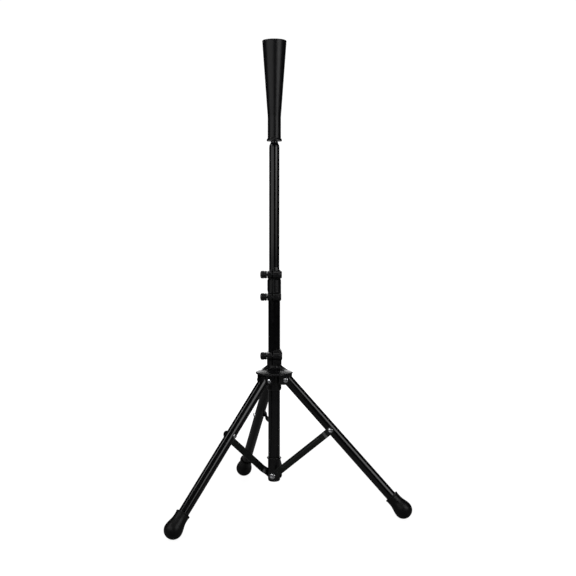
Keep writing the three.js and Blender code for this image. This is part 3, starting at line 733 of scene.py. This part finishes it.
def ribs():
    inside, base = HUB["sleeve"] - OVERLAP, FLANGE["bottom"] + OVERLAP
    side = [
        (inside, base), (RIB["rim"][0], base), RIB["rim"], RIB["crest"],
        (inside, HUB["shoulder_top"] + OVERLAP),
    ]
    turns = [RIB["phase"] + 2 * math.pi * k / RIB["count"] for k in range(RIB["count"])]
    return [
        turned(plate(side, -RIB["half"], 2 * RIB["half"]), Matrix.Rotation(turn, 4, "Z"))
        for turn in turns
    ]


def build_hub():
    sleeve, rim = HUB["sleeve"], FLANGE["radius"]
    hub = as_object(lathe([
        (0, HUB["bottom"]), (sleeve - 1.8, HUB["bottom"]), (sleeve, HUB["bottom"] + 3.2),
        (sleeve, FLANGE["bottom"]), (rim - 0.8, FLANGE["bottom"]), (rim, FLANGE["bottom"] + 0.8),
        (rim, FLANGE["top"] - 1.2), (rim - 1.2, FLANGE["top"]), *SHOULDER,
        (sleeve - 0.1, HUB["shoulder_top"] - 1), (sleeve - 0.1, HUB["top"] - 1.2),
        (sleeve - 1.3, HUB["top"]), (0, HUB["top"]),
    ], SEGMENTS["hub"]), "hub_build")
    to_clamp = Matrix.Rotation(CLAMP_AZIMUTH, 4, "Z")
    lugs = [turned(solid, to_clamp) for solid in lug_solids(CLAMPS["hub"])]
    combine(hub, leg_mounts() + ribs() + lugs, "UNION")

    low, high = HUB["bottom"] - PAST, HUB["top"] + PAST
    cutters = [cylinder(MAIN_TUBE["outer"] + GAP, low, high, SEGMENTS["tube"])]
    slit = (HUB["slit_bottom"], high, MAIN_TUBE["outer"] - PAST)
    cutters += [turned(cutter, to_clamp) for cutter in clamp_cutters(CLAMPS["hub"], slit, HUB_EDGE)]
    at_pivot = shift(0, -LEG_PIVOT["reach"], LEG_PIVOT["z"])
    half_length = CHEEK["outer"] + PAST
    for azimuth in SIDES.values():
        hole = rod_along_x(PIVOT_BOLT["radius"] + GAP, -half_length, half_length)
        cutters.append(turned(hole, at_pivot, Matrix.Rotation(azimuth, 4, "Z")))
    combine(hub, cutters, "DIFFERENCE")
    soften(hub, voxel=0.5, passes=3, kept=0.25)
    piece("hub", hub, MAST, sharp=180)


# ------------------------------------------------------------------ tripod
def leg_tube_shape():
    """A thin tube whose upper end is rounded about the pivot's axis, as a pressed tube end is."""
    bottom = -LEG_LENGTH + FOOT["socket"] + GAP
    segments = SEGMENTS["leg"]
    long_steps = int((-bottom - LEG["plain_end"]) / LONG_STEP)
    levels = [bottom, bottom + EDGE_STEP / 2, bottom + 2 * EDGE_STEP]
    levels += [bottom + LONG_STEP * k for k in range(1, long_steps + 1)]
    bm = bmesh.new()

    def ring(radius, height):
        """A level ring, or the rounded end of the tube where there is no height."""
        made = []
        for k in range(segments):
            angle = 2 * math.pi * k / segments
            x, y = radius * math.cos(angle), radius * math.sin(angle)
            z = math.sqrt(max(0, LEG["end"] ** 2 - y ** 2)) if height is None else height
            made.append(bm.verts.new((x, y, z)))
        return made

    outside = [ring(LEG["radius"], level) for level in (*levels, None)]
    inside = [ring(LEG["radius"] - LEG["wall"], level) for level in (*levels, None)]
    loops = outside + list(reversed(inside))
    for low, high in zip(loops, loops[1:] + loops[:1]):
        for k in range(segments):
            n = (k + 1) % segments
            bm.faces.new([low[k], low[n], high[n], high[k]])
    bmesh.ops.recalc_face_normals(bm, faces=bm.faces)
    return bm


def foot_shape():
    """A round bulb that runs smoothly into a cuff with a lip, with the leg's socket in its top."""
    bulb, cuff, lip, top = FOOT["bulb"], FOOT["cuff"], FOOT["lip"], FOOT["top"]
    profile = [(bulb * math.sin(angle), -bulb * math.cos(angle)) for angle in arc(0, 90, 18)]
    steps = 14
    for k in range(1, steps + 1):
        along = k / steps
        blend = (1 + math.cos(math.pi * along)) / 2
        profile.append((cuff + (bulb - cuff) * blend, FOOT["neck"] * along))
    socket = LEG["radius"] + GAP
    profile += rounded([
        (cuff, top - 5),
        (cuff, top - 3, 0.6),
        (lip, top - 2.4, 0.5),
        (lip, top - 0.5, 0.5),
        (lip - 0.5, top, 0.4),
        (socket, top, 0.3),
        (socket, FOOT["socket"], 0.5),
        (0, FOOT["socket"]),
    ])
    return lathe(profile, SEGMENTS["foot"])


def head_shape(bolt, face, shank_end):
    """A domed head with a shallow dimple, and its shank, drawn with the head toward +Z."""
    head, top = bolt["head"], face + bolt["height"]
    line = rounded([
        (0, top - HEAD_DIMPLE["depth"]),
        (HEAD_DIMPLE["floor"], top - HEAD_DIMPLE["depth"], 0.3),
        (HEAD_DIMPLE["edge"], top - HEAD_DIMPLE["lip"], 0.4),
        (head * 0.62, top - bolt["height"] * 0.22, 1.2),
        (head, face + bolt["height"] * 0.35, 0.6),
        (head, face, 0.2),
        (bolt["radius"], face),
        (bolt["radius"], -shank_end, 0.3),
        (0, -shank_end),
    ], steps=6)
    return lathe(line, SEGMENTS["bolt"])


def dome_nut_shape(bolt, start):
    """A hexagonal nut with a domed outer face, its bore open toward the bolt, along +Z."""
    corner = hexagon_corner(bolt["flats"])
    bore, top = bolt["radius"] + GAP, start + bolt["nut"]
    line = rounded([
        (0, top - DOME_WALL),
        (bore, top - DOME_WALL),
        (bore, start, 0.2),
        (bolt["flats"] - 0.1, start, 0.1),
        (corner, start + 0.5, 0.2),
        (corner, start + bolt["nut"] * 0.5, 0.4),
        (corner * 0.78, start + bolt["nut"] * 0.86, 0.9),
        (0, top),
    ])
    return lathe(line, SEGMENTS["nut"], reshape=hexagonal(bolt["flats"]))


def smoothstep(value):
    value = min(1, max(0, value))
    return value * value * (3 - 2 * value)


# Where the strap's points lie across half its width, and round its ends in degrees
STRAP_ACROSS = (-1, -0.985, -0.94, -0.86, -0.7, -0.52, -0.44, -0.36, -0.26, -0.12)
STRAP_END_ANGLES = (88, 80, 70, 60, 50, 40, 30, 20, 10)
STRAP_STEPS = 96


def strap_row(bm, z):
    """The strap's outer and inner rows of points at the distance z from the rivet."""
    beyond = max(0, -z, z - BRACE_LENGTH)
    width = math.sqrt(STRAP["half"] ** 2 - beyond ** 2)
    from_pivot = min(z, BRACE_LENGTH - z)
    up_step = (from_pivot - JOGGLE["start"]) / (JOGGLE["end"] - JOGGLE["start"])
    step = JOGGLE["offset"] * smoothstep(up_step)
    swell = smoothstep((from_pivot - BEAD["margin"]) / BEAD["fade"])
    outer, inner = [], []
    for share in (*STRAP_ACROSS, 0, *(-value for value in reversed(STRAP_ACROSS))):
        y = share * width
        ridge = smoothstep((BEAD["half"] + BEAD["spread"] - abs(y)) / BEAD["slope"])
        toward_edge = (abs(share) - STRAP["flat_share"]) / (1 - STRAP["flat_share"])
        rounding = STRAP["rounding"] * smoothstep(toward_edge)
        crown = BEAD["height"] * swell * ridge
        outer.append(bm.verts.new((-(STRAP_OUTER + step + crown) + rounding, y, z)))
        inner.append(bm.verts.new((-(STRAP["inner"] + step) - rounding, y, z)))
    return outer, inner


def strap_shape():
    """A pressed strap: round ends, a step outward after each pivot, and a raised bead along the middle."""
    ends = [STRAP["half"] * math.sin(math.radians(angle)) for angle in STRAP_END_ANGLES]
    levels = [-value for value in ends]
    levels += [k * BRACE_LENGTH / STRAP_STEPS for k in range(STRAP_STEPS + 1)]
    levels += [BRACE_LENGTH + value for value in reversed(ends)]
    bm = bmesh.new()
    rows = [strap_row(bm, z) for z in levels]
    last = len(rows[0][0]) - 1
    for (outer, inner), (next_outer, next_inner) in zip(rows, rows[1:]):
        for k in range(last):
            bm.faces.new([outer[k], outer[k + 1], next_outer[k + 1], next_outer[k]])
            bm.faces.new([inner[k + 1], inner[k], next_inner[k], next_inner[k + 1]])
        bm.faces.new([inner[0], outer[0], next_outer[0], next_inner[0]])
        bm.faces.new([outer[last], inner[last], next_inner[last], next_outer[last]])
    for outer, inner in (rows[0], rows[-1]):
        bm.faces.new(outer + list(reversed(inner)))
    bmesh.ops.recalc_face_normals(bm, faces=bm.faces)
    return bm


def rivet_shape():
    face = STRAP_OUTER + GAP
    head, height = RIVET["head"], RIVET["height"]
    floor = face + height - RIVET["depth"]
    line = rounded([
        (0, floor),
        (RIVET["dimple"], floor, 0.3),
        (RIVET["dimple"] + 0.6, face + height, 0.7),
        (head * 0.62, face + height * 0.93, 1.2),
        (head * 0.86, face + height * 0.64, 0.9),
        (head, face + height * 0.24, 0.4),
        (head, face, 0.2),
        (RIVET["radius"], face),
        (RIVET["radius"], COLLAR["flat"] + GAP, 0.2),
        (0, COLLAR["flat"] + GAP),
    ], steps=6)
    return lathe(line, SEGMENTS["rivet"])


def build_leg(side):
    leg = leg_frame(side)
    tube = as_object(leg_tube_shape(), f"leg_{side}_build")
    at_brace = shift(0, 0, -BRACE_BOLT_DISTANCE)
    holes = [
        rod_along_x(PIVOT_BOLT["radius"] + GAP, -FAR, FAR),
        turned(rod_along_x(BRACE_BOLT["radius"] + GAP, -FAR, FAR), at_brace),
    ]
    combine(tube, holes, "DIFFERENCE")
    piece(f"leg_tube_{side}", tube, leg)

    stand = tripod(side) @ shift(0, -FOOT_CIRCLE, FOOT["z"]) @ Matrix.Rotation(-LEG_ANGLE, 4, "X")
    foot = turned(foot_shape(), stand)
    for vertex in foot.verts:
        vertex.co.z = max(0, vertex.co.z)
    bmesh.ops.dissolve_degenerate(foot, dist=SAME_POINT, edges=foot.edges)
    piece(f"foot_{side}", foot, sharp=50)

    face = CHEEK["outer"] + GAP
    bolt = head_shape(PIVOT_BOLT, face, face + PIVOT_BOLT["nut"] / 2)
    piece(f"pivot_bolt_{side}", bolt, leg @ HALF_TURN @ TO_MINUS_X)
    piece(f"pivot_nut_{side}", dome_nut_shape(PIVOT_BOLT, face), leg @ HALF_TURN @ TO_PLUS_X)

    upper, face = leg @ at_brace, LEG["radius"] + GAP
    bolt = head_shape(BRACE_BOLT, STRAP_OUTER + GAP, face + BRACE_BOLT["nut"] / 2)
    piece(f"brace_bolt_{side}", bolt, upper @ TO_MINUS_X)
    piece(f"brace_nut_{side}", dome_nut_shape(BRACE_BOLT, face), upper @ TO_PLUS_X)
    bore, far = BRACE_BOLT["radius"] + GAP, STRAP["inner"] - GAP
    spacer = ring_shape(SPACER_RADIUS, bore, face, far, (0.3, 0.2), SEGMENTS["rod"])
    piece(f"brace_spacer_{side}", spacer, upper @ TO_MINUS_X)

    strap = as_object(strap_shape(), f"strap_{side}_build")
    strap_holes = [
        rod_along_x(RIVET["radius"] + GAP, -FAR, 0),
        turned(rod_along_x(BRACE_BOLT["radius"] + GAP, -FAR, 0), shift(0, 0, BRACE_LENGTH)),
    ]
    combine(strap, strap_holes, "DIFFERENCE")
    piece(f"brace_{side}", strap, brace_frame(side), sharp=40)
    piece(f"brace_rivet_{side}", rivet_shape(), brace_frame(side) @ TO_MINUS_X)


build_mast()
build_brace_collar()
build_mid_collar()
build_hub()
for clamp_name, clamp_size in CLAMPS.items():
    build_fasteners(clamp_name, clamp_size)
for leg_side in SIDES:
    build_leg(leg_side)

# Every CAD node takes its procedural finish. The glide and the leg plugs are the ones still in use.
for node_name, node_object in frame["nodes"].items():
    for material_slot in node_object.material_slots:
        material_slot.material = FINISHES[SLOT_OF[node_name]]


# ------------------------------------------------------------------ floor
FLOOR = {"size": 8, "segments": 8, "drop": 0.0003, "mottle": 3, "roughness": 0.9, "specular": 0.1}
FLOOR_SHADES = (0.3, 0.33)
# Over these distances from the middle, in metres, the glow rises from the first strength to the second
FLOOR_FADE = (0.4, 1.1)
FLOOR_GLOW = (0.92, 1.05)
WHITE = (1, 1, 1, 1)


def pale_floor():
    """A pale floor that keeps its soft shadows near the tee and fades into the white background."""
    bm = bmesh.new()
    segments = FLOOR["segments"]
    bmesh.ops.create_grid(bm, x_segments=segments, y_segments=segments, size=FLOOR["size"])
    for vertex in bm.verts:
        vertex.co.z = -FLOOR["drop"]
    floor = as_object(bm, "floor")
    material = bpy.data.materials.new("pale_floor")
    material.use_nodes = True
    tree = material.node_tree
    nodes, link = tree.nodes, tree.links.new
    surface = nodes["Principled BSDF"]
    texture = nodes.new("ShaderNodeTexNoise")
    texture.inputs["Scale"].default_value = FLOOR["mottle"]
    ramp = nodes.new("ShaderNodeValToRGB")
    for element, shade in zip(ramp.color_ramp.elements, FLOOR_SHADES):
        element.color = (shade, shade, shade, 1)
    link(texture.outputs["Fac"], ramp.inputs["Fac"])
    link(ramp.outputs["Color"], surface.inputs["Base Color"])
    surface.inputs["Roughness"].default_value = FLOOR["roughness"]
    surface.inputs["Specular IOR Level"].default_value = FLOOR["specular"]
    surface.inputs["Emission Color"].default_value = WHITE
    distance = nodes.new("ShaderNodeVectorMath")
    distance.operation = "LENGTH"
    link(nodes.new("ShaderNodeTexCoord").outputs["Object"], distance.inputs[0])
    glow = map_range(tree, distance.outputs["Value"], FLOOR_FADE, FLOOR_GLOW)
    to_camera = nodes.new("ShaderNodeLightPath").outputs["Is Camera Ray"]
    link(combined(tree, glow, to_camera, "MULTIPLY"), surface.inputs["Emission Strength"])
    floor.data.materials.append(material)


pale_floor()

# ------------------------------------------------------------------ camera
CAMERA_AZIMUTH = math.radians(-15.24)
CAMERA_DISTANCE = 2.037
CAMERA_HEIGHT = 0.6226
CAMERA_PITCH = math.radians(3.987)
CAMERA_YAW = 0.0145
CAMERA_ROLL = -0.0017
CAMERA_SENSOR = 36
CAMERA_LENS = 59.606
CAMERA_CLIP = (0.05, 50)
MAST_PLACE = Vector((0, -FOOT_CIRCLE / 4 / METRE, 0))


def around_mast(azimuth, distance, height):
    """A point at an azimuth from the camera's side of the mast, positive to the camera's right."""
    angle = CAMERA_AZIMUTH + azimuth
    return MAST_PLACE + Vector((math.sin(angle) * distance, -math.cos(angle) * distance, height))


def make_camera():
    data = bpy.data.cameras.new("camera")
    data.sensor_width = CAMERA_SENSOR
    data.lens = CAMERA_LENS
    data.clip_start, data.clip_end = CAMERA_CLIP
    camera = bpy.data.objects.new("camera", data)
    bpy.context.scene.collection.objects.link(camera)
    place = Matrix.Translation(around_mast(0, CAMERA_DISTANCE, CAMERA_HEIGHT))
    turn = Matrix.Rotation(CAMERA_AZIMUTH - CAMERA_YAW, 4, "Z")
    tilt = Matrix.Rotation(math.pi / 2 - CAMERA_PITCH, 4, "X")
    roll = Matrix.Rotation(-CAMERA_ROLL, 4, "Z")
    camera.matrix_world = place @ turn @ tilt @ roll
    bpy.context.scene.camera = camera


make_camera()


# ------------------------------------------------------------------ lights
# The heights between which a graded panel's strips lie, in metres
PANEL_LEVELS = (0.34, 0.5, 0.66, 0.82, 1.9)
# The strength of the white world for what it lights, and as the camera sees it
WORLD_STRENGTH = (0.008, 1.05)


def soft_light(name, azimuth, distance, height, width, tall, watts, aim=0.6):
    """A rectangular light, unseen by the camera, turned toward the mast at the height of aim."""
    data = bpy.data.lights.new(name, "AREA")
    data.shape = "RECTANGLE"
    data.size, data.size_y = width, tall
    data.energy = watts
    light = bpy.data.objects.new(name, data)
    bpy.context.scene.collection.objects.link(light)
    light.location = around_mast(math.radians(azimuth), distance, height)
    toward = MAST_PLACE + Vector((0, 0, aim)) - light.location
    light.rotation_euler = toward.to_track_quat("-Z", "Y").to_euler()
    light.visible_camera = False


def graded_panel(name, azimuth, distance, width, radiance, shares):
    """A tall panel of strips. shares gives each strip's part of the radiance, from the bottom up."""
    strips = zip(PANEL_LEVELS, PANEL_LEVELS[1:], shares)
    for number, (low, high, share) in enumerate(strips):
        watts = radiance * share * math.pi * width * (high - low)
        middle = (low + high) / 2
        soft_light(f"{name}_{number}", azimuth, distance, middle, width, high - low, watts, aim=middle)


def white_world():
    world = bpy.data.worlds.new("studio")
    world.use_nodes = True
    bpy.context.scene.world = world
    tree = world.node_tree
    background = tree.nodes["Background"]
    to_camera = tree.nodes.new("ShaderNodeLightPath").outputs["Is Camera Ray"]
    strength = map_range(tree, to_camera, (0, 1), WORLD_STRENGTH)
    tree.links.new(strength, background.inputs["Strength"])
    background.inputs["Color"].default_value = WHITE


graded_panel("right_panel", 47.5, distance=1.7, width=1.1, radiance=2.5, shares=(0.05, 0.25, 0.6, 1))
graded_panel("left_panel", -45, distance=1.7, width=2.3, radiance=1.05, shares=(0.25, 0.8, 1, 1))
soft_light("high_strip", -80, distance=1.5, height=2.15, width=0.4, tall=0.7, watts=3.6)
soft_light("top_panel", 0, distance=0.3, height=2.6, width=0.9, tall=0.9, watts=3.5, aim=0.4)
soft_light("back_panel", 180, distance=2.2, height=1.2, width=1.2, tall=1.8, watts=16)
white_world()
bpy.context.scene.view_settings.view_transform = "Standard"
